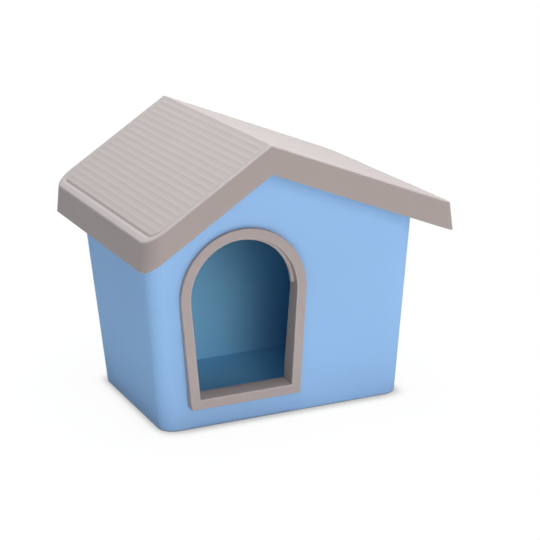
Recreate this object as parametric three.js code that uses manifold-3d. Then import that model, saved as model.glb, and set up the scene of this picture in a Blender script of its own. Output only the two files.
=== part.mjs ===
// A small moulded-plastic dog house: a drafted tub with gabled ends, a lift-off roof with
// hollowed slats, and an arched door frame snapped into the front wall.
// Millimetres, +Z up. X runs to the right along the front, Y to the back.
// The origin is on the ground, under the middle of the roof.

import * as THREE from 'three';
import { mergeVertices } from 'three/addons/utils/BufferGeometryUtils.js';
import Module from 'manifold-3d';

const wasm = await Module();
wasm.setup();

// ---- Roof ----
const ROOF_WIDTH = 500; // eave to eave, at the skirt's lower edge
const ROOF_DEPTH = 435; // front to back
const RIDGE_HEIGHT = 435; // above the ground
const RIDGE_OFFSET = -53; // of the ridge from the middle; negative is left
const EAVE_HEIGHT = 313; // top edge of both eaves above the ground
const SKIRT_DEPTH = 42.5; // upright depth of the skirt
const SKIRT_FLARE = 5; // how far each eave's skirt leans out over its depth
const ROOF_CORNER_R = 29; // upright corners, in plan
const ROOF_WALL = 2.5; // shell thickness

// ---- Slatted panel on the slopes ----
const RIM_WIDTH = 6; // plain border round the roof, in plan
const GROOVE_WIDTH = 7; // groove between the border and the slats, in plan
const GROOVE_DEPTH = 1.8; // below the border
const SLAT_WIDTH = 11.7; // nominal, along the slope
const SLAT_RISE = 0.3; // of the crests between slats above the border
const SLAT_HOLLOW = 0.6; // middle of each slat below its crests
const SLAT_FLAT = 0.4; // of a slat's width, level along its middle

// ---- Tub ----
const TUB_WIDTH = 394; // at the ground
const TUB_DEPTH = 278.5; // at the ground
const TUB_OFFSET = -7.3; // of the tub's middle from the roof's; negative is left
const SIDE_DRAFT = 0.072; // outward lean of the left and right walls, per unit of height
const END_DRAFT = 0.06; // the same for the front and back walls
const TUB_CORNER_R = 27; // upright corners, in plan
const TUB_EDGE_R = 3.5; // rounding of the lower edge
const TUB_WALL = 2.5;
const FLOOR_THICKNESS = 2.6;
const FOOT_HEIGHT = 2; // the floor's clearance above the ground
const FOOT_WIDTH = 12; // of the rim that the tub stands on
const FLANGE_REACH = 5; // of the roof's seat outside the walls
const FLANGE_THICKNESS = 2.5;

// ---- Locating rib under the roof ----
const RIB_DEPTH = 12;
const RIB_THICKNESS = 2.2;
const RIB_CLEARANCE = 1; // between the rib and the inside of the walls

// ---- Door frame ----
const DOOR_WIDTH = 175.8; // outside the frame, at its foot
const DOOR_FOOT = 36.2; // of the frame's lower edge above the ground, up the wall
const DOOR_TOP = 304.8; // of the arch's top
const DOOR_OFFSET = -76.7; // of the frame's centre line from the roof's middle
const DOOR_SPLAY = 4.1; // outward lean of each jamb, degrees
const DOOR_CORNER_R = 3; // the frame's two lower corners
const FACE_WIDTH = 15.2; // of the frame's front face
const PROUD_FOOT = 15.8; // of that face in front of the wall, at the frame's foot
const PROUD_TOP = 5.8; // the same at its top: the face stands steeper than the wall
const FACE_THICKNESS = 2.5;
const LINING_THICKNESS = 2.2; // the lining's and the flank's wall
const LINING_REACH = 17; // inwards from the wall's outer face
const STOP_START = 3; // of the ledge in the arch, inwards from the wall's outer face
const STOP_DEPTH = 7; // front to back
const STOP_HEIGHT = 4.5; // into the opening
const STOP_RISE = 4; // of the ledge's two ends above the arch's centre
const HOOK_LENGTH = 18; // each snap hook, along the lining
const HOOK_DEPTH = 8; // front to back
const HOOK_LAND = 2; // of that depth before the hook's ramp
const HOOK_REACH = 4.5; // out from the lining
const JAMB_HOOK_HEIGHTS = [89, 169]; // of the hooks on each jamb
const ARCH_HOOK_ANGLES = [50, 90, 130]; // of the hooks round the arch, degrees
const SILL_HOOK_OFFSETS = [-45, 45]; // of the hooks under the sill from the centre line

// ---- Fits ----
const SEAT_GAP = 0.3; // between pieces that rest on each other

// ---- Mesh fineness ----
const CORNER_STEPS = 8; // per quarter turn
const EDGE_STEPS = 4; // round the tub's lower edge
const LEAST_CORNER_R = 1; // of any drawn-in corner
const ARCH_STEPS = 40; // round the door's half circle
const OVERSHOOT = 1; // cutters run past what they cut by this
const BITE = 0.5; // joined forms sink into each other by this

// ---- Derived ----
const roofHalfX = ROOF_WIDTH / 2;
const roofHalfY = ROOF_DEPTH / 2;
const eaveX = roofHalfX - SKIRT_FLARE;
const eaveFoot = EAVE_HEIGHT - SKIRT_DEPTH;
const wallFoot = -TUB_DEPTH / 2; // y of the front wall's outer face at the ground
const aloft = 2 * RIDGE_HEIGHT; // above everything
const far = ROOF_WIDTH; // beyond everything, to the sides

const PALE_BLUE = 0x8fb6e6;
const TAUPE = 0xb2a8a4;

// ---------------------------------------------------------------- solids

function toSolid(geometry) {
  const bare = geometry.index ? geometry.toNonIndexed() : geometry.clone();
  bare.deleteAttribute('normal');
  bare.deleteAttribute('uv');
  const merged = mergeVertices(bare, 1e-4);
  return new wasm.Manifold(new wasm.Mesh({
    numProp: 3,
    vertProperties: new Float32Array(merged.attributes.position.array),
    triVerts: new Uint32Array(merged.index.array),
  }));
}

function toGeometry(solid) {
  const { numProp, vertProperties, triVerts } = solid.getMesh();
  const position = new Float32Array((vertProperties.length / numProp) * 3);
  for (let i = 0; i < position.length / 3; i++) {
    position.set(vertProperties.subarray(i * numProp, i * numProp + 3), i * 3);
  }
  const geometry = new THREE.BufferGeometry();
  geometry.setAttribute('position', new THREE.BufferAttribute(position, 3));
  geometry.setIndex(new THREE.BufferAttribute(new Uint32Array(triVerts), 1));
  geometry.computeVertexNormals();
  return geometry;
}

// A closed solid through level rings of points, lowest first, with flat ends.
// Each ring is { z, points } with the same number of points, anticlockwise from above.
function loft(rings) {
  const count = rings[0].points.length;
  const vertices = rings.flatMap(({ z, points }) => points.flatMap((p) => [p.x, p.y, z]));
  const faces = [];
  for (let k = 0; k + 1 < rings.length; k++) {
    for (let i = 0; i < count; i++) {
      const a = k * count + i;
      const b = k * count + ((i + 1) % count);
      faces.push(a, b, b + count, a, b + count, a + count);
    }
  }
  const top = (rings.length - 1) * count;
  for (const [a, b, c] of THREE.ShapeUtils.triangulateShape(rings[0].points, [])) {
    faces.push(c, b, a);
  }
  for (const [a, b, c] of THREE.ShapeUtils.triangulateShape(rings.at(-1).points, [])) {
    faces.push(top + a, top + b, top + c);
  }
  const geometry = new THREE.BufferGeometry();
  geometry.setAttribute('position', new THREE.Float32BufferAttribute(vertices, 3));
  geometry.setIndex(faces);
  return toSolid(geometry);
}

function arcPoints(cx, cy, radius, from, to, steps) {
  return Array.from({ length: steps + 1 }, (_, i) => {
    const angle = from + ((to - from) * i) / steps;
    return new THREE.Vector2(cx + radius * Math.cos(angle), cy + radius * Math.sin(angle));
  });
}

// A rectangle with round corners, as points anticlockwise from above.
function roundedRectangle(x0, x1, y0, y1, radius) {
  const r = Math.max(radius, LEAST_CORNER_R);
  const corners = [[x1 - r, y0 + r], [x1 - r, y1 - r], [x0 + r, y1 - r], [x0 + r, y0 + r]];
  return corners.flatMap(([cx, cy], turn) => {
    const from = (Math.PI / 2) * (turn - 1);
    return arcPoints(cx, cy, r, from, from + Math.PI / 2, CORNER_STEPS);
  });
}

// A closed outline in X and Z, extruded from yFront back to yBack.
function acrossDepth(outline, yFront, yBack) {
  const geometry = new THREE.ExtrudeGeometry(new THREE.Shape(outline), {
    depth: yBack - yFront,
    bevelEnabled: false,
  });
  return toSolid(geometry.rotateX(Math.PI / 2).translate(0, yBack, 0));
}

// A closed outline in Y and Z, extruded from xLeft to xRight.
function acrossWidth(outline, xLeft, xRight) {
  const geometry = new THREE.ExtrudeGeometry(new THREE.Shape(outline), {
    depth: xRight - xLeft,
    bevelEnabled: false,
  });
  return toSolid(geometry.rotateX(Math.PI / 2).rotateZ(Math.PI / 2).translate(xLeft, 0, 0));
}

// ---------------------------------------------------------------- roof slopes

const slopes = [-1, 1].map((side) => {
  const run = eaveX - side * RIDGE_OFFSET;
  const rise = RIDGE_HEIGHT - EAVE_HEIGHT;
  const length = Math.hypot(run, rise);
  return { side, run, rise, length, cos: run / length, sin: rise / length, tan: rise / run };
});

// The point u down a slope from the ridge and n out from its surface.
function onSlope({ side, cos, sin }, u, n) {
  return new THREE.Vector2(
    RIDGE_OFFSET + side * (u * cos + n * sin),
    RIDGE_HEIGHT - u * sin + n * cos,
  );
}

// The roof's line from left to right, raised by n square to each slope.
function slopeLine(n) {
  const [left, right] = slopes;
  const heightAt = (slope, x) =>
    EAVE_HEIGHT + slope.tan * (eaveX - slope.side * x) + n / slope.cos;
  const peakX = (right.tan * eaveX - left.tan * eaveX + n / right.cos - n / left.cos)
    / (left.tan + right.tan);
  return [
    new THREE.Vector2(-far, heightAt(left, -far)),
    new THREE.Vector2(peakX, heightAt(left, peakX)),
    new THREE.Vector2(far, heightAt(right, far)),
  ];
}

// Everything below the roof's line raised by n, right across.
function belowSlopes(n) {
  const base = -far;
  return acrossDepth(
    [new THREE.Vector2(-far, base), new THREE.Vector2(far, base), ...slopeLine(n).reverse()],
    -far,
    far,
  );
}

// What lies between two such lines.
function betweenSlopes(low, high) {
  return acrossDepth([...slopeLine(low), ...slopeLine(high).reverse()], -far, far);
}

// The roof's outline in plan, drawn in by an inset: flared skirt below, upright above.
function roofPrism(inset) {
  const ring = (z, halfX) => ({
    z,
    points: roundedRectangle(
      -halfX + inset, halfX - inset, -roofHalfY + inset, roofHalfY - inset,
      ROOF_CORNER_R - inset,
    ),
  });
  return loft([
    ring(eaveFoot - SKIRT_DEPTH, roofHalfX),
    ring(eaveFoot, roofHalfX),
    ring(EAVE_HEIGHT, eaveX),
    ring(aloft, eaveX),
  ]);
}

// ---------------------------------------------------------------- tub forms

// The tub's wall line in plan at a height, drawn in by an inset.
function tubRing(z, inset) {
  const halfX = TUB_WIDTH / 2 + SIDE_DRAFT * z - inset;
  const halfY = TUB_DEPTH / 2 + END_DRAFT * z - inset;
  return {
    z,
    points: roundedRectangle(
      TUB_OFFSET - halfX, TUB_OFFSET + halfX, -halfY, halfY, TUB_CORNER_R - inset,
    ),
  };
}

// The tub's form drawn in by an inset, from zLow up, with its lower edge rounded.
function tubForm(inset, zLow, edgeRadius) {
  const rings = [];
  for (let i = 0; i < EDGE_STEPS && edgeRadius > 0; i++) {
    const angle = (Math.PI / 2) * (i / EDGE_STEPS);
    const z = zLow + edgeRadius * (1 - Math.cos(angle));
    rings.push({ ...tubRing(z, inset + edgeRadius * (1 - Math.sin(angle))), z });
  }
  rings.push(tubRing(zLow + Math.max(edgeRadius, 0), inset), tubRing(aloft, inset));
  return loft(rings);
}

function makeTub() {
  const floorTop = FOOT_HEIGHT + FLOOR_THICKNESS;
  const seat = -ROOF_WALL - GROOVE_DEPTH - SEAT_GAP;
  const outside = tubForm(0, 0, TUB_EDGE_R);
  const flange = tubForm(-FLANGE_REACH, EAVE_HEIGHT - SKIRT_DEPTH, 0)
    .intersect(betweenSlopes(seat - FLANGE_THICKNESS, seat));
  const inside = tubForm(TUB_WALL, floorTop, TUB_EDGE_R - TUB_WALL);
  const underside = loft([
    tubRing(-OVERSHOOT, TUB_EDGE_R + FOOT_WIDTH),
    tubRing(FOOT_HEIGHT, TUB_EDGE_R + FOOT_WIDTH),
  ]);
  return outside
    .intersect(belowSlopes(seat))
    .add(flange)
    .subtract(inside)
    .subtract(underside)
    .subtract(doorwayCut());
}

// ---------------------------------------------------------------- roof

function makeRoof() {
  const ceiling = -GROOVE_DEPTH - ROOF_WALL;
  const skirtLine = aboveSkirtFoot();
  const deck = roofPrism(0).intersect(belowSlopes(-GROOVE_DEPTH));
  const rim = roofPrism(0).subtract(roofPrism(RIM_WIDTH)).intersect(belowSlopes(0));
  const panel = roofPrism(RIM_WIDTH + GROOVE_WIDTH).intersect(slats());
  const hollow = roofPrism(ROOF_WALL).intersect(belowSlopes(ceiling));
  const ribOuter = TUB_WALL + RIB_CLEARANCE;
  const withinRib = tubForm(ribOuter + RIB_THICKNESS, 0, 0);
  const rib = tubForm(ribOuter, 0, 0)
    .subtract(withinRib)
    .intersect(betweenSlopes(ceiling - RIB_DEPTH, ceiling + BITE));
  const pocketTop = SLAT_RISE - SLAT_HOLLOW - ROOF_WALL;
  const pocket = withinRib.intersect(betweenSlopes(ceiling - BITE, pocketTop));
  return deck.add(rim).intersect(skirtLine).add(panel).subtract(hollow).add(rib).subtract(pocket);
}

// Everything above the skirt's lower edge, which follows the slopes and is level at the eaves.
function aboveSkirtFoot() {
  return acrossDepth([
    new THREE.Vector2(-far, eaveFoot),
    new THREE.Vector2(-eaveX, eaveFoot),
    new THREE.Vector2(RIDGE_OFFSET, RIDGE_HEIGHT - SKIRT_DEPTH),
    new THREE.Vector2(eaveX, eaveFoot),
    new THREE.Vector2(far, eaveFoot),
    new THREE.Vector2(far, aloft),
    new THREE.Vector2(-far, aloft),
  ], -far, far);
}

// The slats of both slopes as one band, running front to back.
// Each slat is a shallow hollow between two crests, and the ridge is the first crest.
function slats() {
  const crest = SLAT_RISE;
  const hollow = SLAT_RISE - SLAT_HOLLOW;
  const root = -GROOVE_DEPTH - BITE;
  const [left, right] = slopes.map((slope) => {
    const margin = (RIM_WIDTH + GROOVE_WIDTH) / slope.cos;
    const span = slope.length - margin;
    const count = Math.round(span / SLAT_WIDTH);
    const width = span / count;
    const points = [];
    for (let i = 0; i < count; i++) {
      const middle = (i + 0.5) * width;
      points.push(onSlope(slope, middle - (SLAT_FLAT / 2) * width, hollow));
      points.push(onSlope(slope, middle + (SLAT_FLAT / 2) * width, hollow));
      points.push(onSlope(slope, (i + 1) * width, crest));
    }
    points.push(onSlope(slope, slope.length, crest), onSlope(slope, slope.length, root));
    return points;
  });
  const ridge = slopeLine(crest)[1];
  const rootPeak = slopeLine(root)[1];
  return acrossDepth(
    [...left.reverse(), ridge, ...right, rootPeak].reverse(),
    -roofHalfY - OVERSHOOT,
    roofHalfY + OVERSHOOT,
  );
}

// ---------------------------------------------------------------- door frame
// Built flat in a frame of its own: X and Z lie in the front wall's outer face, Y runs inwards.

const splay = THREE.MathUtils.degToRad(DOOR_SPLAY);
const wallLean = Math.atan(END_DRAFT);
const archRadius = ((DOOR_WIDTH / 2) * Math.cos(splay) + (DOOR_TOP - DOOR_FOOT) * Math.sin(splay))
  / (1 + Math.sin(splay));
const archCentre = DOOR_TOP - archRadius;

// Half the frame's width at a height, drawn in by an inset.
function jambHalfWidth(z, inset) {
  return (archRadius - inset) / Math.cos(splay) - (archCentre - z) * Math.tan(splay);
}

// The frame's outline drawn in by an inset: a foot, two splayed jambs and a round arch.
function doorOutline(inset) {
  const foot = DOOR_FOOT + inset;
  const corner = DOOR_CORNER_R - inset;
  const corners = [-1, 1].map((side) => {
    if (corner <= 0) {
      return [new THREE.Vector2(DOOR_OFFSET + side * jambHalfWidth(foot, inset), foot)];
    }
    const x = DOOR_OFFSET + side * jambHalfWidth(foot + corner, inset + corner);
    const [from, to] = side > 0 ? [-Math.PI / 2, -splay] : [Math.PI + splay, Math.PI * 1.5];
    return arcPoints(x, foot + corner, corner, from, to, CORNER_STEPS);
  });
  const arch = arcPoints(
    DOOR_OFFSET, archCentre, archRadius - inset, -splay, Math.PI + splay, ARCH_STEPS,
  );
  return [...corners[1], ...arch, ...corners[0]];
}

// The door outline drawn in by an inset, extruded from yFront to yBack.
function doorPrism(inset, yFront, yBack) {
  return acrossDepth(doorOutline(inset), yFront, yBack);
}

// A ring of the door outline between two insets.
function doorRing(insetOut, insetIn, yFront, yBack) {
  return doorPrism(insetOut, yFront, yBack)
    .subtract(doorPrism(insetIn, yFront - OVERSHOOT, yBack + OVERSHOOT));
}

const liningOut = FACE_WIDTH - LINING_THICKNESS;

// Everything behind the frame's face moved back by a depth.
function behindFace(depth) {
  const rate = (PROUD_TOP - PROUD_FOOT) / (DOOR_TOP - DOOR_FOOT);
  const faceAt = (z) => depth - PROUD_FOOT - rate * (z - DOOR_FOOT);
  return acrossWidth([
    new THREE.Vector2(faceAt(0), 0),
    new THREE.Vector2(far, 0),
    new THREE.Vector2(far, aloft),
    new THREE.Vector2(faceAt(aloft), aloft),
  ], -far, far);
}

// The ledge that stands into the opening round the arch.
function archStop() {
  const above = new THREE.BoxGeometry(far, far, far)
    .translate(DOOR_OFFSET, 0, archCentre + STOP_RISE + far / 2);
  return doorRing(
    FACE_WIDTH - BITE, FACE_WIDTH + STOP_HEIGHT, STOP_START, STOP_START + STOP_DEPTH,
  ).intersect(toSolid(above));
}

// One snap hook: a wedge behind the wall, standing out from the lining.
// It is drawn at the origin, pointing along +X, with its catch facing the wall.
function hook() {
  const side = new THREE.Shape([
    new THREE.Vector2(-BITE, 0),
    new THREE.Vector2(HOOK_REACH, 0),
    new THREE.Vector2(HOOK_REACH, HOOK_LAND),
    new THREE.Vector2(-BITE, HOOK_DEPTH),
  ]);
  const geometry = new THREE.ExtrudeGeometry(side, { depth: HOOK_LENGTH, bevelEnabled: false });
  return geometry.translate(0, 0, -HOOK_LENGTH / 2);
}

// A hook at a point of the lining, pointing outwards at an angle in the wall's plane.
function hookAt(x, z, angle) {
  const geometry = hook().rotateY(-angle).translate(x, TUB_WALL + SEAT_GAP, z);
  return toSolid(geometry);
}

function hooks() {
  const found = [];
  for (const height of JAMB_HOOK_HEIGHTS) {
    for (const side of [-1, 1]) {
      const x = DOOR_OFFSET + side * jambHalfWidth(height, liningOut);
      found.push(hookAt(x, height, side > 0 ? -splay : Math.PI + splay));
    }
  }
  for (const degrees of ARCH_HOOK_ANGLES) {
    const angle = THREE.MathUtils.degToRad(degrees);
    const radius = archRadius - liningOut;
    found.push(hookAt(
      DOOR_OFFSET + radius * Math.cos(angle), archCentre + radius * Math.sin(angle), angle,
    ));
  }
  for (const offset of SILL_HOOK_OFFSETS) {
    found.push(hookAt(DOOR_OFFSET + offset, DOOR_FOOT + liningOut, -Math.PI / 2));
  }
  return found;
}

function makeDoorFrame() {
  const ahead = -Math.max(PROUD_FOOT, PROUD_TOP) - OVERSHOOT;
  const face = doorRing(0, FACE_WIDTH, ahead, 0).subtract(behindFace(FACE_THICKNESS));
  const flank = doorRing(0, LINING_THICKNESS, ahead, -SEAT_GAP);
  const lining = doorRing(liningOut, FACE_WIDTH, ahead, LINING_REACH);
  const shell = face.add(flank).add(lining).intersect(behindFace(0));
  return hooks().reduce((frame, piece) => frame.add(piece), shell).add(archStop());
}

// The hole in the front wall that the lining passes through, placed on the leaning wall.
function doorwayCut() {
  const cut = doorPrism(liningOut - SEAT_GAP, -TUB_WALL, 2 * TUB_WALL);
  const geometry = toGeometry(cut).rotateX(wallLean).translate(0, wallFoot, 0);
  return toSolid(geometry);
}

// ---------------------------------------------------------------- assembly

function addPiece(parent, name, solid, color, roughness) {
  const material = new THREE.MeshStandardMaterial({ color, roughness, metalness: 0 });
  const mesh = new THREE.Mesh(toGeometry(solid), material);
  mesh.name = name;
  parent.add(mesh);
}

const house = new THREE.Group();
addPiece(house, 'body_tub', makeTub(), PALE_BLUE, 0.45);
addPiece(house, 'roof_shell', makeRoof(), TAUPE, 0.5);

const onFrontWall = new THREE.Group();
onFrontWall.rotation.x = wallLean;
onFrontWall.position.y = wallFoot;
addPiece(onFrontWall, 'door_frame', makeDoorFrame(), TAUPE, 0.5);
house.add(onFrontWall);

export default house;
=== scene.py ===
"""A small moulded-plastic dog house: a drafted blue tub, a taupe roof with hollowed slats,
and a taupe door frame snapped into the front wall.

Sizes are in millimetres and turn into metres where a mesh is made. X runs to the right along
the front, Y to the back and Z up, from the ground under the middle of the roof.
"""

import math

import bmesh
import bpy
import numpy as np
from mathutils import Matrix, Vector


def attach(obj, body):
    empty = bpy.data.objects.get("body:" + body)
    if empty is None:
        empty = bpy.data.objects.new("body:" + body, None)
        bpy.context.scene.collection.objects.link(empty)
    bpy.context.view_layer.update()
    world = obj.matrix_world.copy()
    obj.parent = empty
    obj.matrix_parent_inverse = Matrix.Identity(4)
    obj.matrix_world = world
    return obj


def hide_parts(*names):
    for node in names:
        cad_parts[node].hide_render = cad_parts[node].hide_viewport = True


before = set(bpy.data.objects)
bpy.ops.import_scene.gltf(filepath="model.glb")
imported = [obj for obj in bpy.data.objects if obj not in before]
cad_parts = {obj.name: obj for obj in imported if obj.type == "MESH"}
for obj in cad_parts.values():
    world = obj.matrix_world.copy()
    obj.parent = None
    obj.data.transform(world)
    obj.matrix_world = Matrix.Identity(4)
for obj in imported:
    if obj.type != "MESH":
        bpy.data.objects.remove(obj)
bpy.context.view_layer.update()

MM = 0.001

# ---- Roof ----
ROOF_WIDTH = 500.0  # eave to eave, at the skirt's foot
ROOF_DEPTH = 435.0
RIDGE_HEIGHT = 435.0
RIDGE_X = -53.0
RIDGE_ROUNDING = 1.4  # height over which the two slopes blend
EAVE_HEIGHT = 313.0
SKIRT_DEPTH = 42.5
SKIRT_FLARE = 5.0
ROOF_CORNER_R = 29.0
ROOF_WALL = 2.5
RIM_EDGE_R = 1.9  # the rim's outer edge, all round the roof
SKIRT_FOOT_R = 0.8

# ---- Slatted panel ----
RIM_WIDTH = 6.0
GROOVE_WIDTH = 7.0
GROOVE_DEPTH = 1.8  # at the panel's wall, where it is deepest
GROOVE_CURVE = 1.3  # how late its floor falls: 1 would be a straight fall
GROOVE_R = 0.9  # fillets in the corners under the roof
PANEL_EDGE = 3.0  # width of the panel's soft edge
RAKE_DEPTH = 0.9  # of the groove up the sloping ends, where it is faint
RAKE_START = 1.0  # of that faint groove, out over the rim
RAKE_LOWEST = 2.6  # its lowest line, inwards from the rim
RAKE_RISE = 6.4  # width of its inner side
EAVE_BLEND_START = 45.0  # in from the eave, where the groove begins to deepen
EAVE_BLEND = 32.0  # width over which it deepens
SLAT_WIDTH = 11.7
SLAT_RISE = 0.3  # crest between two slats above the rim
SLAT_HOLLOW = 0.6  # middle of a slat below its crests

# ---- Tub ----
TUB_WIDTH = 394.0
TUB_DEPTH = 278.5
TUB_X = -7.3
SIDE_DRAFT = 0.072
END_DRAFT = 0.06
TUB_CORNER_R = 27.0
TUB_EDGE_R = 3.5
TUB_WALL = 2.5
FLOOR_THICKNESS = 2.6
FOOT_HEIGHT = 2.0
FOOT_WIDTH = 12.0
FLANGE_REACH = 5.0
FLANGE_THICKNESS = 2.5
SEAT_GAP = 0.3
MOULD_R = 0.5  # the least rounding of a moulded edge

# ---- Locating rib under the roof ----
RIB_DEPTH = 12.0
RIB_THICKNESS = 2.2
RIB_CLEARANCE = 1.0

# ---- Door frame ----
DOOR_WIDTH = 175.8
DOOR_FOOT = 36.2
DOOR_TOP = 304.8
DOOR_X = -76.7
DOOR_SPLAY = math.radians(4.1)
DOOR_CORNER_R = 3.0
INNER_CORNER_R = 0.6
FACE_WIDTH = 15.2
PROUD_FOOT = 15.8  # of the face in front of the wall, at the frame's foot
PROUD_TOP = 5.8  # the same at its top: the face stands steeper than the wall
FACE_THICKNESS = 2.5
FACE_EDGE_R = 1.4
REVEAL_EDGE_R = 1.1
LINING_THICKNESS = 2.2
LINING_REACH = 17.0  # inwards from the wall's outer face
STOP_START = 3.0  # of the ledge in the arch, inwards from the wall's outer face
STOP_DEPTH = 7.0
STOP_HEIGHT = 4.5  # into the opening
STOP_RISE = 4.0  # of the ledge's two ends above the arch's centre
HOOK_LENGTH = 18.0
HOOK_DEPTH = 8.0
HOOK_LAND = 2.0
HOOK_REACH = 4.5
HOOK_ROOT = 0.5  # how far a hook is sunk into the lining
JAMB_HOOK_HEIGHTS = (89.0, 169.0)
ARCH_HOOK_ANGLES = (50.0, 90.0, 130.0)
SILL_HOOK_OFFSETS = (-45.0, 45.0)

# ---- Mesh fineness ----
CORNER_STEPS = 14  # per upright corner
FILLET_STEPS = 4  # per quarter turn of a small fillet
GROOVE_STEPS = 8  # across the groove
ARCH_STEPS = 36  # per quarter turn of the arch
SHARP_ANGLE = math.radians(32)  # from which an edge is shaded as a sharp one

# ---- Derived ----
eave_x = ROOF_WIDTH / 2 - SKIRT_FLARE
eave_foot = EAVE_HEIGHT - SKIRT_DEPTH
roof_half_y = ROOF_DEPTH / 2
left_tan = (RIDGE_HEIGHT - EAVE_HEIGHT) / (eave_x + RIDGE_X)
right_tan = (RIDGE_HEIGHT - EAVE_HEIGHT) / (eave_x - RIDGE_X)
left_cos = math.cos(math.atan(left_tan))
right_cos = math.cos(math.atan(right_tan))
seat = -ROOF_WALL - GROOVE_DEPTH - SEAT_GAP
ceiling = -ROOF_WALL - GROOVE_DEPTH
wall_lean = math.atan(END_DRAFT)


# ------------------------------------------------------------------ meshes


def make_piece(name, points, faces, **masks):
    """A mesh object from points in millimetres, with any masks as attributes of its points."""
    mesh = bpy.data.meshes.new(name)
    mesh.from_pydata([tuple(c * MM for c in p) for p in points], [], faces)
    for label, values in masks.items():
        mask = mesh.attributes.new(label, "FLOAT", "POINT")
        mask.data.foreach_set("value", np.asarray(values, np.float32))
    piece = bpy.data.objects.new(name, mesh)
    bpy.context.scene.collection.objects.link(piece)
    return piece


def loft(name, rings, first_inside=None):
    """A closed piece through rings of (points, edge mask), each ring with the same count.

    A ring's first half runs along the front from left to right and its second half comes
    back along the rear, so the first and last rings close with strips from front to back.
    The rings from first_inside on line a hollow.
    """
    count = len(rings[0][0])
    if first_inside is None:
        first_inside = len(rings)
    points = [p for ring, _ in rings for p in ring]
    edge = [mask for ring, mask in rings for _ in ring]
    inside = [float(k >= first_inside) for k in range(len(rings)) for _ in range(count)]
    faces = []
    for k in range(len(rings) - 1):
        low, high = k * count, (k + 1) * count
        for i in range(count):
            j = (i + 1) % count
            faces.append((low + i, low + j, high + j, high + i))
    top = (len(rings) - 1) * count
    for i in range(count // 2 - 1):
        front, rear = i, count - 1 - i
        faces.append((front, rear, rear - 1, front + 1))
        faces.append((top + front, top + front + 1, top + rear - 1, top + rear))
    return make_piece(name, points, faces, edge=edge, inside=inside)


def soften(piece):
    """Smooth shading that keeps flat faces flat and splits the sharper edges."""
    mesh = piece.data
    mesh.shade_smooth()
    mesh.set_sharp_from_angle(angle=SHARP_ANGLE)
    even = piece.modifiers.new("even_shading", "WEIGHTED_NORMAL")
    even.keep_sharp = True
    return piece


def combine(piece, tool, operation):
    """Cuts the tool from the piece, or joins it on, and deletes the tool."""
    change = piece.modifiers.new("combine", "BOOLEAN")
    change.operation = operation
    change.solver = "EXACT"
    change.object = tool
    shape = bpy.data.meshes.new_from_object(
        piece.evaluated_get(bpy.context.evaluated_depsgraph_get())
    )
    piece.modifiers.clear()
    piece.data = shape
    bpy.data.objects.remove(tool)


def fillet(radius):
    """(run, drop) pairs round a convex quarter turn, from its side to its top."""
    turns = [math.pi / 2 * i / FILLET_STEPS for i in range(FILLET_STEPS + 1)]
    return [(radius * (1 - math.cos(a)), radius * (1 - math.sin(a))) for a in turns]


# ------------------------------------------------------------------ outlines seen from above
# A station says where along the front a point lies: 0 to 1 round the left corner, 1 to 2 on
# to the ridge, 2 to 3 from the ridge to the right corner, and 3 to 4 round that.


def along_front(station, x0, x1, radius):
    """x of a station, and how far its point lies in from the front edge."""
    part = min(int(station), 3)
    share = station - part
    if part == 1:
        return x0 + radius + (RIDGE_X - x0 - radius) * share, 0.0
    if part == 2:
        return RIDGE_X + (x1 - radius - RIDGE_X) * share, 0.0
    angle = math.pi / 2 * (share if part == 0 else 1 - share)
    run = radius * (1 - math.cos(angle))
    return (x0 + run if part == 0 else x1 - run), radius * (1 - math.sin(angle))


def station_of(x, x0, x1, radius):
    """The station whose point on that outline has this x."""
    if x < x0 + radius:
        return math.acos(1 - (x - x0) / radius) / (math.pi / 2)
    if x > x1 - radius:
        return 4 - math.acos(1 - (x1 - x) / radius) / (math.pi / 2)
    if x < RIDGE_X:
        return 1 + (x - x0 - radius) / (RIDGE_X - x0 - radius)
    return 2 + (x - RIDGE_X) / (x1 - radius - RIDGE_X)


def all_round(front):
    """A whole ring from its front points, given as (x, y of the front, z)."""
    return front + [(x, -y, z) for x, y, z in reversed(front)]


def roof_line(x, raised=0.0):
    """Height of the two slopes above x, raised square to each, with the ridge rounded."""
    left = EAVE_HEIGHT + left_tan * (eave_x + x) + raised / left_cos
    right = EAVE_HEIGHT + right_tan * (eave_x - x) + raised / right_cos
    share = min(max(0.5 + (right - left) / (2 * RIDGE_ROUNDING), 0), 1)
    return right + (left - right) * share - RIDGE_ROUNDING * share * (1 - share)


# ------------------------------------------------------------------ roof


def slat_profile():
    """x and height above the slope at each bend of the slats, from eave to eave.

    Each slat is a shallow hollow between two soft crests, and the ridge is the first crest.
    """
    shares = (0.0, 0.06, 0.14, 0.26, 0.4, 0.6, 0.74, 0.86, 0.94)
    found = {}
    for side, slope_cos in ((-1, left_cos), (1, right_cos)):
        length = (eave_x - side * RIDGE_X) / slope_cos
        span = length - (RIM_WIDTH + GROOVE_WIDTH) / slope_cos
        width = span / round(span / SLAT_WIDTH)
        for i in range(round(span / width)):
            for share in shares:
                hollow = SLAT_HOLLOW * 4 * share * (1 - share)
                found[RIDGE_X + side * (i + share) * width * slope_cos] = SLAT_RISE - hollow
        found[RIDGE_X + side * span * slope_cos] = SLAT_RISE
    return zip(*sorted(found.items()))


slat_x, slat_height = slat_profile()


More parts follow.
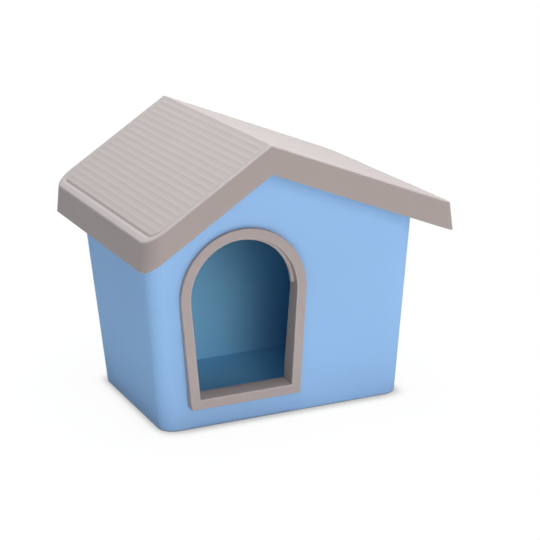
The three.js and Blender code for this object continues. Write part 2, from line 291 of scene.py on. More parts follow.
def roof_stations():
    """Stations through every bend of the slats and evenly round the corners."""
    inset = RIM_WIDTH + GROOVE_WIDTH
    reach, radius = eave_x - inset, ROOF_CORNER_R - inset
    stations = [station_of(x, -reach, reach, radius) for x in slat_x]
    stations += [2 + side * step * 0.0035 for side in (-1, 1) for step in (1, 2)] + [2]
    turns = [i / CORNER_STEPS for i in range(CORNER_STEPS + 1)]
    least = 0.3 / CORNER_STEPS
    for station in turns + [4 - turn for turn in turns]:
        if all(abs(station - other) > least for other in stations):
            stations.append(station)
    stations = sorted(stations)
    kept = [0.0]
    for station in stations:
        if station - kept[-1] > 1e-4:
            kept.append(station)
    return kept


def roof_ring(inset, height_at, flare=0.0):
    """The roof's outline drawn in by an inset, at the height that a function gives for x."""
    reach = eave_x + flare - inset
    front = []
    for station in stations:
        x, inward = along_front(station, -reach, reach, ROOF_CORNER_R - inset)
        front.append((x, -roof_half_y + inset + inward, height_at(x)))
    return all_round(front)


def tub_ring(stations, inset, height_at):
    """The tub's wall line, drawn in by an inset, at the height that a function gives for x."""
    front = []
    for station in stations:
        z = EAVE_HEIGHT
        for _ in range(4):  # the wall leans, so the place and the height settle together
            half_x = TUB_WIDTH / 2 + SIDE_DRAFT * z - inset
            x, inward = along_front(
                station, TUB_X - half_x, TUB_X + half_x, TUB_CORNER_R - inset
            )
            z = height_at(x)
        front.append((x, -TUB_DEPTH / 2 - END_DRAFT * z + inset + inward, z))
    return all_round(front)


def skirt_foot(x):
    """Height of the skirt's foot, which follows the slopes and is level past the eaves."""
    return max(roof_line(x) - SKIRT_DEPTH, eave_foot)


def blend_rings(low, high, share):
    return [tuple(a + (b - a) * share for a, b in zip(p, q)) for p, q in zip(low, high)]


panel_start = RIM_WIDTH + GROOVE_WIDTH - PANEL_EDGE / 3


def ease(value):
    """0 to 1 with level ends."""
    value = min(max(value, 0), 1)
    return value * value * (3 - 2 * value)


def groove_fall(inset, x):
    """How far the groove sinks below the slope: deep along the eaves, faint up the rakes."""
    eave = 0.0
    if RIM_WIDTH < inset <= panel_start:
        eave = ((inset - RIM_WIDTH) / (panel_start - RIM_WIDTH)) ** GROOVE_CURVE
    elif inset > panel_start:
        eave = 1 - ease((inset - panel_start) / PANEL_EDGE)
    past_rim = inset - RIM_WIDTH
    fall = ease((past_rim + RAKE_START) / (RAKE_START + RAKE_LOWEST))
    rake = fall - ease((past_rim - RAKE_LOWEST) / RAKE_RISE)
    by_eave = ease((abs(x) - eave_x + EAVE_BLEND_START) / EAVE_BLEND)
    return GROOVE_DEPTH * eave * by_eave + RAKE_DEPTH * rake * (1 - by_eave)


def make_roof():
    rings = []

    def above(inset, raised, edge=0.0, slats=0.0):
        def height(x):
            panel_height = slats * float(np.interp(x, slat_x, slat_height))
            return roof_line(x, raised - groove_fall(inset, x)) + panel_height
        rings.append((roof_ring(inset, height), edge))

    def on_tub_line(inset, raised, edge=0.0):
        rings.append((tub_ring(stations, inset, lambda x: roof_line(x, raised)), edge))

    # Underside, from the middle outwards.
    rib_outer = TUB_WALL + RIB_CLEARANCE
    rib_inner = rib_outer + RIB_THICKNESS
    rib_foot = ceiling - RIB_DEPTH
    pocket_top = SLAT_RISE - SLAT_HOLLOW - ROOF_WALL
    on_tub_line(rib_inner + GROOVE_R, pocket_top)
    on_tub_line(rib_inner, pocket_top - GROOVE_R)
    on_tub_line(rib_inner, rib_foot + MOULD_R)
    on_tub_line(rib_inner - MOULD_R, rib_foot, 1.0)
    on_tub_line(rib_outer + MOULD_R, rib_foot, 1.0)
    on_tub_line(rib_outer, rib_foot + MOULD_R)
    on_tub_line(rib_outer, ceiling - MOULD_R)
    on_tub_line(rib_outer - MOULD_R, ceiling)
    above(ROOF_WALL + GROOVE_R, ceiling)
    inner_top = roof_ring(ROOF_WALL, lambda x: roof_line(x, ceiling - GROOVE_R))
    inner_foot = roof_ring(ROOF_WALL, skirt_foot, SKIRT_FLARE)
    rings.append((inner_top, 0.0))

    # Skirt.
    outer_top = roof_ring(0, lambda x: roof_line(x) - RIM_EDGE_R)
    outer_foot = roof_ring(0, skirt_foot, SKIRT_FLARE)
    rounding = SKIRT_FOOT_R / SKIRT_DEPTH
    across = SKIRT_FOOT_R / ROOF_WALL
    rings.append((blend_rings(inner_foot, inner_top, rounding), 0.0))
    for side in (0.3, 0.0):
        inward = blend_rings(inner_foot, outer_foot, across * (1 - side))
        rings.append((blend_rings(inward, inner_top, rounding * side), 1.0))
    for side in (0.0, 0.3):
        outward = blend_rings(outer_foot, inner_foot, across * (1 - side))
        rings.append((blend_rings(outward, outer_top, rounding * side), 1.0))
    rings.append((blend_rings(outer_foot, outer_top, rounding), 0.0))
    rings.append((blend_rings(outer_foot, outer_top, 1 - rounding), 0.0))

    # Rim, groove and slats.
    for run, drop in fillet(RIM_EDGE_R):
        above(run, -drop, 1.0)
    for i in range(GROOVE_STEPS):
        above(RIM_WIDTH + (panel_start - RIM_WIDTH) * i / GROOVE_STEPS, 0)
    for i in range(GROOVE_STEPS + 1):
        share = i / GROOVE_STEPS
        above(panel_start + PANEL_EDGE * share, 0, slats=share)
    return soften(loft("roof", rings))


# ------------------------------------------------------------------ tub


def tub_stations():
    turns = [i / CORNER_STEPS for i in range(CORNER_STEPS)]
    runs = [1, 1.5, 1.97, 2, 2.03, 2.5, 3]
    return turns + runs + [4 - turn for turn in reversed(turns)]


def make_tub():
    round_tub = tub_stations()
    rings = []

    def level(inset, z, edge=0.0):
        rings.append((tub_ring(round_tub, inset, lambda x: z), edge))

    def under_roof(inset, raised, edge=0.0):
        rings.append((tub_ring(round_tub, inset, lambda x: roof_line(x, raised)), edge))

    floor_top = FOOT_HEIGHT + FLOOR_THICKNESS
    foot_inset = TUB_EDGE_R + FOOT_WIDTH
    level(foot_inset + MOULD_R, FOOT_HEIGHT)
    level(foot_inset, FOOT_HEIGHT - MOULD_R)
    level(foot_inset - MOULD_R, 0.0, 1.0)
    for i in range(2 * FILLET_STEPS + 1):
        angle = math.pi / 2 * i / (2 * FILLET_STEPS)
        level(TUB_EDGE_R * (1 - math.sin(angle)), TUB_EDGE_R * (1 - math.cos(angle)))
    flange_foot = seat - FLANGE_THICKNESS
    under_roof(0.0, flange_foot - GROOVE_R)
    under_roof(-GROOVE_R, flange_foot)
    under_roof(-FLANGE_REACH + MOULD_R, flange_foot, 1.0)
    under_roof(-FLANGE_REACH, flange_foot + MOULD_R, 1.0)
    under_roof(-FLANGE_REACH, seat - MOULD_R, 1.0)
    under_roof(-FLANGE_REACH + MOULD_R, seat, 1.0)
    under_roof(TUB_WALL - MOULD_R, seat, 1.0)
    first_inside = len(rings)
    under_roof(TUB_WALL, seat - MOULD_R, 1.0)
    under_roof(TUB_WALL, seat - 3 * MOULD_R)
    inner_r = TUB_EDGE_R - TUB_WALL
    for i in range(FILLET_STEPS + 1):
        angle = math.pi / 2 * (1 - i / FILLET_STEPS)
        level(
            TUB_WALL + inner_r * (1 - math.sin(angle)),
            floor_top + inner_r * (1 - math.cos(angle)),
        )
    tub = loft("tub", rings, first_inside)
    cutter = door_prism(FACE_WIDTH - LINING_THICKNESS - SEAT_GAP, -TUB_WALL, 2 * TUB_WALL)
    combine(tub, cutter, "DIFFERENCE")
    return soften(tub)


# ------------------------------------------------------------------ door frame
# Drawn upright, with X and Z in the front wall's outer face and Y running inwards, and then
# leaned back onto the wall.

splay_cos, splay_sin = math.cos(DOOR_SPLAY), math.sin(DOOR_SPLAY)
arch_r = (DOOR_WIDTH / 2 * splay_cos + (DOOR_TOP - DOOR_FOOT) * splay_sin) / (1 + splay_sin)
arch_z = DOOR_TOP - arch_r


def jamb_half_width(z, inset):
    """Half the frame's width at a height, drawn in by an inset."""
    return (arch_r - inset) / splay_cos - (arch_z - z) * splay_sin / splay_cos


def proud_at(z):
    """How far the frame's face stands in front of the wall at a height."""
    return PROUD_FOOT + (PROUD_TOP - PROUD_FOOT) * (z - DOOR_FOOT) / (DOOR_TOP - DOOR_FOOT)


def door_outline(inset):
    """(x, z, on the ledge) round the frame drawn in by an inset, from the right foot corner."""
    corner = max(DOOR_CORNER_R - inset, INNER_CORNER_R)
    foot = DOOR_FOOT + inset
    corner_x = jamb_half_width(foot + corner, inset + corner)
    half = []
    for i in range(CORNER_STEPS + 1):
        angle = -math.pi / 2 + (math.pi / 2 - DOOR_SPLAY) * i / CORNER_STEPS
        half.append((corner_x + corner * math.cos(angle), foot + corner * (1 + math.sin(angle)), 0))
    reach = arch_r - inset
    start = half[-1]
    end = (jamb_half_width(arch_z - reach * splay_sin, inset), arch_z - reach * splay_sin, 0)
    for share in (0.25, 0.5, 0.75):
        half.append(tuple(a + (b - a) * share for a, b in zip(start, end)))
    ledge_end = math.asin(STOP_RISE / (arch_r - FACE_WIDTH))
    turns = [(angle, 0) for angle in (-DOOR_SPLAY, -DOOR_SPLAY / 2, 0.0, ledge_end - 0.002)]
    for i in range(ARCH_STEPS + 1):
        turns.append((ledge_end + (math.pi / 2 - ledge_end) * i / ARCH_STEPS, 1))
    for angle, on_ledge in turns:
        half.append((reach * math.cos(angle), arch_z + reach * math.sin(angle), on_ledge))
    right = [(DOOR_X + x, z, on_ledge) for x, z, on_ledge in half]
    left = [(DOOR_X - x, z, on_ledge) for x, z, on_ledge in reversed(half[:-1])]
    return right + left


def onto_wall(piece):
    """Leans an upright piece back onto the front wall."""
    lean = Matrix.Rotation(wall_lean, 4, "X")
    piece.data.transform(Matrix.Translation((0, -TUB_DEPTH / 2 * MM, 0)) @ lean)


def door_prism(inset, y_front, y_back):
    """The door's outline as a solid from y_front to y_back, leaned onto the wall."""
    outline = door_outline(inset)
    count = len(outline)
    points = [(x, y, z) for y in (y_front, y_back) for x, z, _ in outline]
    faces = [(i, count + i, count + (i + 1) % count, (i + 1) % count) for i in range(count)]
    faces += [tuple(range(count)), tuple(reversed(range(count, 2 * count)))]
    prism = make_piece("door_prism", points, faces)
    onto_wall(prism)
    return prism


def frame_section():
    """(inset, y, on the face, ledge, edge mask) round the frame's section.

    y counts from the face for a point on it, and otherwise from the wall's outer side. The
    ledge is the share of its height by which the arch stands in there.
    """
    lining, flank = FACE_WIDTH - LINING_THICKNESS, LINING_THICKNESS
    under = FACE_THICKNESS
    ledge_back = STOP_START + STOP_DEPTH
    section = [(MOULD_R, -SEAT_GAP, 0, 0, 0), (0, -SEAT_GAP - MOULD_R, 0, 0, 0)]
    section += [(run, drop, 1, 0, 0.3) for run, drop in fillet(FACE_EDGE_R)]
    section += [
        (FACE_EDGE_R + MOULD_R, 0, 1, 0, 0), (FACE_WIDTH - REVEAL_EDGE_R - MOULD_R, 0, 1, 0, 0)
    ]
    section += [
        (FACE_WIDTH - run, drop, 1, 0, 1) for run, drop in reversed(fillet(REVEAL_EDGE_R))
    ]
    section += [(FACE_WIDTH, REVEAL_EDGE_R + 0.4, 1, 0, 0)]
    ledge_edge = [(-0.2, 0), (0.0, 0.08), (0.1, 0.9), (0.5, 1)]  # (past its start, rise)
    section += [(FACE_WIDTH, STOP_START + y, 0, rise, 0) for y, rise in ledge_edge]
    section += [(FACE_WIDTH, ledge_back - y, 0, rise, 0) for y, rise in reversed(ledge_edge)]
    section += [
        (FACE_WIDTH, LINING_REACH - MOULD_R, 0, 0, 0),
        (FACE_WIDTH - MOULD_R, LINING_REACH, 0, 0, 1),
        (lining + MOULD_R, LINING_REACH, 0, 0, 1), (lining, LINING_REACH - MOULD_R, 0, 0, 1),
        (lining, under + MOULD_R, 1, 0, 0), (lining - MOULD_R, under, 1, 0, 0),
        (flank + MOULD_R, under, 1, 0, 0), (flank, under + MOULD_R, 1, 0, 0),
        (flank, -SEAT_GAP - MOULD_R, 0, 0, 0), (flank - MOULD_R, -SEAT_GAP, 0, 0, 0),
    ]
    return section


def hook(x, z, angle):
    """A snap hook standing out from the lining at a point, pointing at an angle."""
    profile = [
        (-HOOK_ROOT, 0), (HOOK_REACH, 0), (HOOK_REACH, HOOK_LAND), (-HOOK_ROOT, HOOK_DEPTH)
    ]
    half = HOOK_LENGTH / 2
    points = [(out, y, along) for along in (-half, half) for out, y in profile]
    count = len(profile)
    faces = [(i, count + i, count + (i + 1) % count, (i + 1) % count) for i in range(count)]
    faces += [tuple(range(count)), tuple(reversed(range(count, 2 * count)))]
    piece = make_piece("hook", points, faces)
    shape = bmesh.new()
    shape.from_mesh(piece.data)
    bmesh.ops.bevel(
        shape, geom=shape.edges[:], offset=0.4 * MM, segments=2, affect="EDGES", profile=0.5
    )
    bmesh.ops.recalc_face_normals(shape, faces=shape.faces[:])
    shape.to_mesh(piece.data)
    shape.free()
    place = Matrix.Translation((x * MM, (TUB_WALL + SEAT_GAP) * MM, z * MM))
    piece.data.transform(place @ Matrix.Rotation(-angle, 4, "Y"))
    return piece


def hooks():
    lining = FACE_WIDTH - LINING_THICKNESS
    found = []
    for height in JAMB_HOOK_HEIGHTS:
        for side in (-1, 1):
            x = DOOR_X + side * jamb_half_width(height, lining)
            found.append(hook(x, height, -DOOR_SPLAY if side > 0 else math.pi + DOOR_SPLAY))
    for degrees in ARCH_HOOK_ANGLES:
        angle = math.radians(degrees)
        reach = arch_r - lining
        x, z = DOOR_X + reach * math.cos(angle), arch_z + reach * math.sin(angle)
        found.append(hook(x, z, angle))
    for offset in SILL_HOOK_OFFSETS:
        found.append(hook(DOOR_X + offset, DOOR_FOOT + lining, -math.pi / 2))
    return found


def make_door_frame():
    section = frame_section()
    points, edge = [], []
    for inset, y, on_face, ledge, mask in section:
        plain, stepped = door_outline(inset), door_outline(inset + STOP_HEIGHT * ledge)
        for on_plain, on_step in zip(plain, stepped):
            x, z, _ = on_step if on_plain[2] else on_plain
            points.append((x, y - proud_at(z) * on_face, z))
            edge.append(mask)
    count = len(points) // len(section)
    faces = []
    for k in range(len(section)):
        near, far = k * count, ((k + 1) % len(section)) * count
        for i in range(count):
            j = (i + 1) % count
            faces.append((near + i, near + j, far + j, far + i))
    frame_piece = make_piece("door_frame_moulding", points, faces, edge=edge)
    for piece in hooks():
        combine(frame_piece, piece, "UNION")
    onto_wall(frame_piece)
    return soften(frame_piece)


# ------------------------------------------------------------------ assembly

stations = roof_stations()
roof = make_roof()
tub = make_tub()
door_frame = make_door_frame()

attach(roof, "roof")
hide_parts("roof_shell")
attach(tub, "house")
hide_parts("body_tub")
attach(door_frame, "house")
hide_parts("door_frame")

# ------------------------------------------------------------------ finishes


class Nodes:
    """A node tree with short ways to add a node and to join sockets."""

    def __init__(self, tree):
        self.tree = tree

    def add(self, kind, inputs=None, **settings):
        node = self.tree.nodes.new(kind)
        for name, value in settings.items():
            setattr(node, name, value)
        for socket, value in (inputs or {}).items():
            if isinstance(value, bpy.types.NodeSocket):
                self.tree.links.new(value, node.inputs[socket])
            else:
                node.inputs[socket].default_value = value
        return node

    def math(self, operation, a, b=0.0):
        return self.add("ShaderNodeMath", {0: a, 1: b}, operation=operation).outputs[0]

    def ramp(self, value, low, high, to_low=0.0, to_high=1.0):
        node = self.add("ShaderNodeMapRange", {
            "Value": value, "From Min": low, "From Max": high,
            "To Min": to_low, "To Max": to_high,
        }, interpolation_type="SMOOTHSTEP")
        return node.outputs["Result"]

    def noise(self, vector, size, detail=2.0, roughness=0.5):
        """Noise whose features are about this many millimetres across."""
        node = self.add("ShaderNodeTexNoise", {
            "Vector": vector, "Scale": 1 / (size * MM), "Detail": detail, "Roughness": roughness,
        })
        return node.outputs["Fac"]


def new_group(name, inputs, outputs):
    """An empty node group with number inputs and outputs, and its two end nodes."""
    group = bpy.data.node_groups.new(name, "ShaderNodeTree")
    for label, default in inputs.items():
        socket = group.interface.new_socket(label, in_out="INPUT", socket_type="NodeSocketFloat")
        socket.default_value = default
    for label, kind in outputs.items():
        group.interface.new_socket(label, in_out="OUTPUT", socket_type=kind)
    nodes = Nodes(group)
    return nodes, nodes.add("NodeGroupInput").outputs, nodes.add("NodeGroupOutput")


def moulded_surface_group():
    """The skin that a polished mould leaves on plastic: fine grain over a faint waviness."""
    nodes, given, out = new_group(
        "moulded_surface",
        {"Grain depth": 0.004, "Wave depth": 0.02, "Wave size": 22.0},
        {"Height": "NodeSocketFloat", "Gloss change": "NodeSocketFloat"},
    )
    place = nodes.add("ShaderNodeTexCoord").outputs["Object"]
    grain = nodes.noise(place, 0.45, detail=1.0)
    peel = nodes.noise(place, 2.6, detail=2.0)
    wave_scale = nodes.math("DIVIDE", 1 / MM, given["Wave size"])
    waves = nodes.add(
        "ShaderNodeTexNoise", {"Vector": place, "Scale": wave_scale, "Detail": 1.0}
    ).outputs["Fac"]
    fine = nodes.math("MULTIPLY", nodes.math("ADD", grain, peel), given["Grain depth"])
    broad = nodes.math("MULTIPLY", waves, given["Wave depth"])
    height = nodes.math("MULTIPLY", nodes.math("ADD", fine, broad), MM)
    nodes.tree.links.new(height, out.inputs["Height"])
    gloss = nodes.math("SUBTRACT", nodes.noise(place, 35.0, detail=3.0), 0.5)
    nodes.tree.links.new(gloss, out.inputs["Gloss change"])
    return nodes.tree


def flow_shade_group():
    """Slow changes of shade where the melt flowed and cooled."""
    nodes, given, out = new_group(
        "flow_shade", {"Size": 160.0, "Amount": 0.03}, {"Shade": "NodeSocketFloat"}
    )
    place = nodes.add("ShaderNodeTexCoord").outputs["Object"]
    stretched = nodes.add(
        "ShaderNodeMapping", {"Vector": place, "Scale": (1.0, 1.0, 0.45)}
    ).outputs["Vector"]
    scale = nodes.math("DIVIDE", 1 / MM, given["Size"])
    cloud = nodes.add("ShaderNodeTexNoise", {
        "Vector": stretched, "Scale": scale, "Detail": 2.0, "Distortion": 0.6,
    }).outputs["Fac"]
    centred = nodes.math("SUBTRACT", cloud, 0.5)
    change = nodes.math("MULTIPLY", centred, given["Amount"])
    nodes.tree.links.new(nodes.math("ADD", change, 1.0), out.inputs["Shade"])
    return nodes.tree


def edge_wear_and_highlight_group():
    """Rounded edges, broken up along their length: where handling has polished them, and where
    their paleness paints the highlight that a rounded edge catches.
    """
    nodes, given, out = new_group("edge_wear_and_highlight", {"Amount": 0.5}, {"Mask": "NodeSocketFloat"})
    edge = nodes.add("ShaderNodeAttribute", attribute_name="edge").outputs["Fac"]
    place = nodes.add("ShaderNodeTexCoord").outputs["Object"]
    patches = nodes.ramp(nodes.noise(place, 14.0, detail=3.0), 0.3, 0.6, 0.45, 1.0)
    mask = nodes.math("MULTIPLY", nodes.math("MULTIPLY", edge, patches), given["Amount"])
    nodes.tree.links.new(mask, out.inputs["Mask"])
    return nodes.tree


def handling_marks_group():
    """Sparse hairline rubs, each a stretched streak in one of two directions."""
    nodes, given, out = new_group("handling_marks", {"Amount": 0.5}, {"Mask": "NodeSocketFloat"})
    place = nodes.add("ShaderNodeTexCoord").outputs["Object"]
    streaks = []
    for turn, seed in ((0.5, 3.0), (2.2, 11.0)):
        turned = nodes.add("ShaderNodeMapping", {
            "Vector": place, "Location": (seed, seed, seed),
            "Rotation": (turn, turn * 0.6, turn * 1.7), "Scale": (0.04, 1.0, 1.0),
        }).outputs["Vector"]
        streaks.append(nodes.ramp(nodes.noise(turned, 1.2, detail=0.0), 0.74, 0.80))
    where = nodes.ramp(nodes.noise(place, 90.0, detail=2.0), 0.52, 0.66)
    either = nodes.math("MAXIMUM", *streaks)
    mask = nodes.math("MULTIPLY", nodes.math("MULTIPLY", either, where), given["Amount"])
    nodes.tree.links.new(mask, out.inputs["Mask"])
    return nodes.tree


moulded_surface = moulded_surface_group()
flow_shade = flow_shade_group()
edge_wear_and_highlight = edge_wear_and_highlight_group()
handling_marks = handling_marks_group()


WEAR_AND_HIGHLIGHT_PALENESS = 0.55  # of a worn edge or rub, and of an edge's painted highlight, from the plastic's own colour towards white
RUB_SHARE = 0.4  # of that paleness in a hairline rub
GLOSS_SPREAD = 0.16  # of roughness, between the dullest and the shiniest places
EDGE_GLOSS = 0.08  # roughness that handling takes off an edge
RUB_DULLNESS = 0.12  # roughness that a rub adds


def moulded_plastic(name, colour, finish, surface, shade, wear_and_highlight_amount, marks, lit_inner_colour=None):
    """A satin moulded plastic: each group's own values come in as a small dictionary.

    The finish is (roughness, specular level). A lit inner colour, brighter and more teal, is
    painted on the faces that line a hollow, for the light that comes through the thin wall.
    """
    roughness, specular = finish
    material = bpy.data.materials.new(name)
    material.use_nodes = True
    nodes = Nodes(material.node_tree)
    plastic = material.node_tree.nodes["Principled BSDF"]

    def place(group, values):
        node = nodes.add("ShaderNodeGroup", node_tree=group)
        for label, value in values.items():
            node.inputs[label].default_value = value
        return node.outputs

    skin = place(moulded_surface, surface)
    tone = place(flow_shade, shade)["Shade"]
    edge = place(edge_wear_and_highlight, wear_and_highlight_amount)["Mask"]
    rubs = place(handling_marks, marks)["Mask"]

    bare = nodes.add("ShaderNodeMix", data_type="RGBA")
    inside = nodes.add("ShaderNodeAttribute", attribute_name="inside").outputs["Fac"]
    nodes.tree.links.new(inside, bare.inputs[0])
    bare.inputs[6].default_value = (*colour, 1.0)
    bare.inputs[7].default_value = (*(lit_inner_colour or colour), 1.0)
    shaded = nodes.add(
        "ShaderNodeVectorMath", {0: bare.outputs[2], "Scale": tone}, operation="SCALE"
    )
    # Edges and rubs turn paler: a rub is real wear, while an edge's paleness is partly polish and
    # partly a painted highlight.
    pale = tuple(channel + (1 - channel) * WEAR_AND_HIGHLIGHT_PALENESS for channel in colour)
    wear_and_highlight = nodes.math("MAXIMUM", edge, nodes.math("MULTIPLY", rubs, RUB_SHARE))
    mixed = nodes.add("ShaderNodeMix", data_type="RGBA")
    nodes.tree.links.new(wear_and_highlight, mixed.inputs[0])
    nodes.tree.links.new(shaded.outputs[0], mixed.inputs[6])
    mixed.inputs[7].default_value = (*pale, 1.0)
    nodes.tree.links.new(mixed.outputs[2], plastic.inputs["Base Color"])

    rough = nodes.math("MULTIPLY", skin["Gloss change"], GLOSS_SPREAD)
    rough = nodes.math("ADD", rough, roughness)
    rough = nodes.math("SUBTRACT", rough, nodes.math("MULTIPLY", edge, EDGE_GLOSS))
    rough = nodes.math("ADD", rough, nodes.math("MULTIPLY", rubs, RUB_DULLNESS))
    nodes.tree.links.new(rough, plastic.inputs["Roughness"])

    bump = nodes.add("ShaderNodeBump", {"Height": skin["Height"], "Distance": 1.0})
    nodes.tree.links.new(bump.outputs["Normal"], plastic.inputs["Normal"])
    plastic.inputs["Specular IOR Level"].default_value = specular
    return material


TUB_BLUE = (0.324, 0.53, 0.835)
# Painted light: a brighter, more teal blue on the inner faces for the light that comes through the
# thin wall.
TUB_INNER_LIT_BLUE = (0.30, 0.69, 0.98)
ROOF_TAUPE = (0.38, 0.311, 0.291)
FRAME_TAUPE = (0.44, 0.365, 0.345)

tub.data.materials.append(moulded_plastic(
    "pale_blue_polypropylene", TUB_BLUE, (0.5, 0.03),
    {"Grain depth": 0.004, "Wave depth": 0.04, "Wave size": 45.0},
    {"Size": 220.0, "Amount": 0.02}, {"Amount": 0.15}, {"Amount": 0.15}, TUB_INNER_LIT_BLUE,
))
roof.data.materials.append(moulded_plastic(
    "taupe_roof_polypropylene", ROOF_TAUPE, (0.45, 0.08),
    {"Grain depth": 0.004, "Wave depth": 0.008, "Wave size": 40.0},
    {"Size": 180.0, "Amount": 0.02}, {"Amount": 0.08}, {"Amount": 0.15},
))
door_frame.data.materials.append(moulded_plastic(
    "taupe_frame_polypropylene", FRAME_TAUPE, (0.4, 0.08),
    {"Grain depth": 0.005, "Wave depth": 0.02, "Wave size": 25.0},
    {"Size": 110.0, "Amount": 0.02}, {"Amount": 0.22}, {"Amount": 0.15},
))


# ------------------------------------------------------------------ floor, light and camera

FLOOR_SIZE = 40.0  # metres
FLOOR_WHITE = 0.82
CONTACT_REACH = 30.0  # millimetres, of the painted contact shadow where the house meets the floor
CONTACT_OPENNESS = (0.1, 0.92)  # share of open space at that line's darkest and at plain white
CONTACT_DARKEST = 0.12
SIDE_FADE = 0.8  # share of that line that is lost at the two sides
SIDE_FADE_REACH = (-4.0, 14.0)  # millimetres out from the tub's sides
SHADOW_SHARE = 0.04  # of the floor's own shading in what is seen of it near the house
SHADOW_REACH = (0.3, 0.7)  # metres from the house's middle, over which that share goes
WHITE_REACH = (0.45, 1.0)  # metres over which the floor turns plain white


def make_floor():
    """A white studio floor with a painted contact shadow and a faint share of its own lit shadow,
    fading to plain white around it.
    """
    half = FLOOR_SIZE / 2 / MM
    corners = [(-half, -half, 0), (half, -half, 0), (half, half, 0), (-half, half, 0)]
    floor = make_piece("studio_floor", corners, [(0, 1, 2, 3)])
    material = bpy.data.materials.new("studio_white")
    material.use_nodes = True
    nodes = Nodes(material.node_tree)
    material.node_tree.nodes.clear()
    white = (1, 1, 1, 1)
    grey = (FLOOR_WHITE, FLOOR_WHITE, FLOOR_WHITE, 1)
    shaded = nodes.add("ShaderNodeBsdfDiffuse", {"Color": grey}).outputs[0]
    # Painted contact shadow: the glow that is seen is darkened where the house shuts out the open
    # space nearby.
    near = nodes.add("ShaderNodeAmbientOcclusion", {"Distance": CONTACT_REACH * MM}, samples=8)
    painted_contact_shade = nodes.add("ShaderNodeMapRange", {
        "Value": near.outputs["AO"],
        "From Min": CONTACT_OPENNESS[0], "From Max": CONTACT_OPENNESS[1],
        "To Min": CONTACT_DARKEST, "To Max": 1.0,
    }).outputs["Result"]
    place = nodes.add("ShaderNodeTexCoord").outputs["Object"]
    across = nodes.add("ShaderNodeSeparateXYZ", {0: place}).outputs["X"]
    aside = nodes.math("ABSOLUTE", nodes.math("SUBTRACT", across, TUB_X * MM))
    side_from, side_to = [(TUB_WIDTH / 2 + out) * MM for out in SIDE_FADE_REACH]
    fade = nodes.ramp(aside, side_from, side_to, 0.0, SIDE_FADE)
    lost = nodes.math("MULTIPLY", fade, nodes.math("SUBTRACT", 1.0, painted_contact_shade))
    painted_contact_shade = nodes.math("ADD", painted_contact_shade, lost)
    pale = nodes.add("ShaderNodeEmission", {"Color": white, "Strength": painted_contact_shade}).outputs[0]
    plain = nodes.add("ShaderNodeEmission", {"Color": white, "Strength": 1.0}).outputs[0]
    reach = nodes.add("ShaderNodeVectorMath", {0: place}, operation="LENGTH").outputs["Value"]
    shadow = nodes.ramp(reach, *SHADOW_REACH, SHADOW_SHARE, 0.0)
    lit = nodes.add("ShaderNodeMixShader", {0: shadow, 1: pale, 2: shaded}).outputs[0]
    far = nodes.ramp(reach, *WHITE_REACH)
    seen = nodes.add("ShaderNodeMixShader", {0: far, 1: lit, 2: plain}).outputs[0]
    rays = nodes.add("ShaderNodeLightPath").outputs
    shown = nodes.math("MAXIMUM", rays["Is Camera Ray"], rays["Is Glossy Ray"])
    shown = nodes.math("MAXIMUM", shown, rays["Is Transmission Ray"])
    mix = nodes.add("ShaderNodeMixShader", {0: shown, 1: shaded, 2: seen}).outputs[0]
    nodes.add("ShaderNodeOutputMaterial", {"Surface": mix})
    floor.data.materials.append(material)


def make_world():
    """Plain white all round to the eye and in gloss; the light comes from the lamps."""
    world = bpy.data.worlds.new("studio")
    bpy.context.scene.world = world
    world.use_nodes = True
    nodes = Nodes(world.node_tree)
    world.node_tree.nodes.clear()
    rays = nodes.add("ShaderNodeLightPath").outputs
    shown = nodes.math("MAXIMUM", rays["Is Camera Ray"], rays["Is Glossy Ray"])
    shown = nodes.math("MAXIMUM", shown, rays["Is Transmission Ray"])
    fill = nodes.add("ShaderNodeBackground", {"Color": (1, 1, 1, 1), "Strength": WORLD_LIGHT})
    white = nodes.add("ShaderNodeBackground", {"Color": (1, 1, 1, 1), "Strength": 1.0})
    mix = nodes.add("ShaderNodeMixShader", {
        0: shown, 1: fill.outputs[0], 2: white.outputs[0],
    })
    nodes.add("ShaderNodeOutputWorld", {"Surface": mix.outputs[0]})


def make_lamp(name, azimuth, elevation, distance, size, power, tint=(1, 1, 1)):
    """A square soft light aimed at the house. Azimuth 0 is straight in front, 90 at the right."""
    lamp = bpy.data.lights.new(name, "AREA")
    lamp.size = size
    lamp.energy = power
    lamp.color = tint
    holder = bpy.data.objects.new(name, lamp)
    bpy.context.scene.collection.objects.link(holder)
    a, e = math.radians(azimuth), math.radians(elevation)
    out = Vector((math.sin(a) * math.cos(e), -math.cos(a) * math.cos(e), math.sin(e)))
    holder.location = Vector((0, 0, RIDGE_HEIGHT / 2 * MM)) + out * distance
    holder.rotation_euler = out.to_track_quat("Z", "Y").to_euler()


WORLD_LIGHT = 0.0  # all the light comes from the lamps

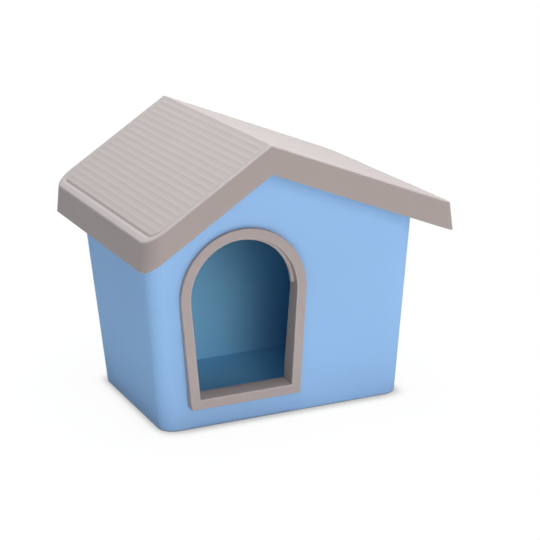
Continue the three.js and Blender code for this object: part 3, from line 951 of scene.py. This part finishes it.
FOCAL_PIXELS = 1755.9  # focal length, in pixels of the 540-pixel picture
PICTURE = 540
SENSOR = 36.0
CAMERA_PITCH = math.radians(16.419)
CAMERA_YAW = math.radians(23.381)
CAMERA_ROLL = math.radians(-1.358)
CAMERA_DISTANCE = 2.7983  # metres, along the camera's axis, to the origin
ORIGIN_X, ORIGIN_Y = 253.38, 383.59  # the origin in the picture, in pixels


def make_camera():
    forward = Vector((
        math.sin(CAMERA_YAW) * math.cos(CAMERA_PITCH),
        math.cos(CAMERA_YAW) * math.cos(CAMERA_PITCH),
        -math.sin(CAMERA_PITCH),
    ))
    level = Vector((math.cos(CAMERA_YAW), -math.sin(CAMERA_YAW), 0))
    upright = level.cross(forward)
    right = level * math.cos(CAMERA_ROLL) + upright * math.sin(CAMERA_ROLL)
    up = upright * math.cos(CAMERA_ROLL) - level * math.sin(CAMERA_ROLL)
    aside = (ORIGIN_X - PICTURE / 2) / FOCAL_PIXELS * CAMERA_DISTANCE
    below = (ORIGIN_Y - PICTURE / 2) / FOCAL_PIXELS * CAMERA_DISTANCE
    place = -forward * CAMERA_DISTANCE - right * aside + up * below
    camera = bpy.data.objects.new("camera", bpy.data.cameras.new("camera"))
    camera.data.sensor_width = SENSOR
    camera.data.lens = FOCAL_PIXELS / PICTURE * SENSOR
    camera.matrix_world = Matrix((
        (right.x, up.x, -forward.x, place.x),
        (right.y, up.y, -forward.y, place.y),
        (right.z, up.z, -forward.z, place.z),
        (0, 0, 0, 1),
    ))
    bpy.context.scene.collection.objects.link(camera)
    bpy.context.scene.camera = camera


make_floor()
make_world()
make_lamp("overhead_softbox", 0, 88, 2.6, 2.0, 127, (0.82, 0.94, 1.0))
make_lamp("front_left_softbox", -12, 22, 3.2, 1.2, 17.6, (1.0, 0.96, 0.94))
make_lamp("front_softbox", -3, 10, 3.2, 1.4, 23, (1.0, 0.95, 0.95))
make_lamp("right_softbox", 80, 25, 3.0, 1.5, 16)
make_lamp("high_right_softbox", 70, 60, 2.8, 1.6, 8)
make_lamp("rear_left_softbox", -115, 25, 3.0, 1.5, 1.6)
make_camera()
bpy.context.scene.view_settings.view_transform = "Standard"
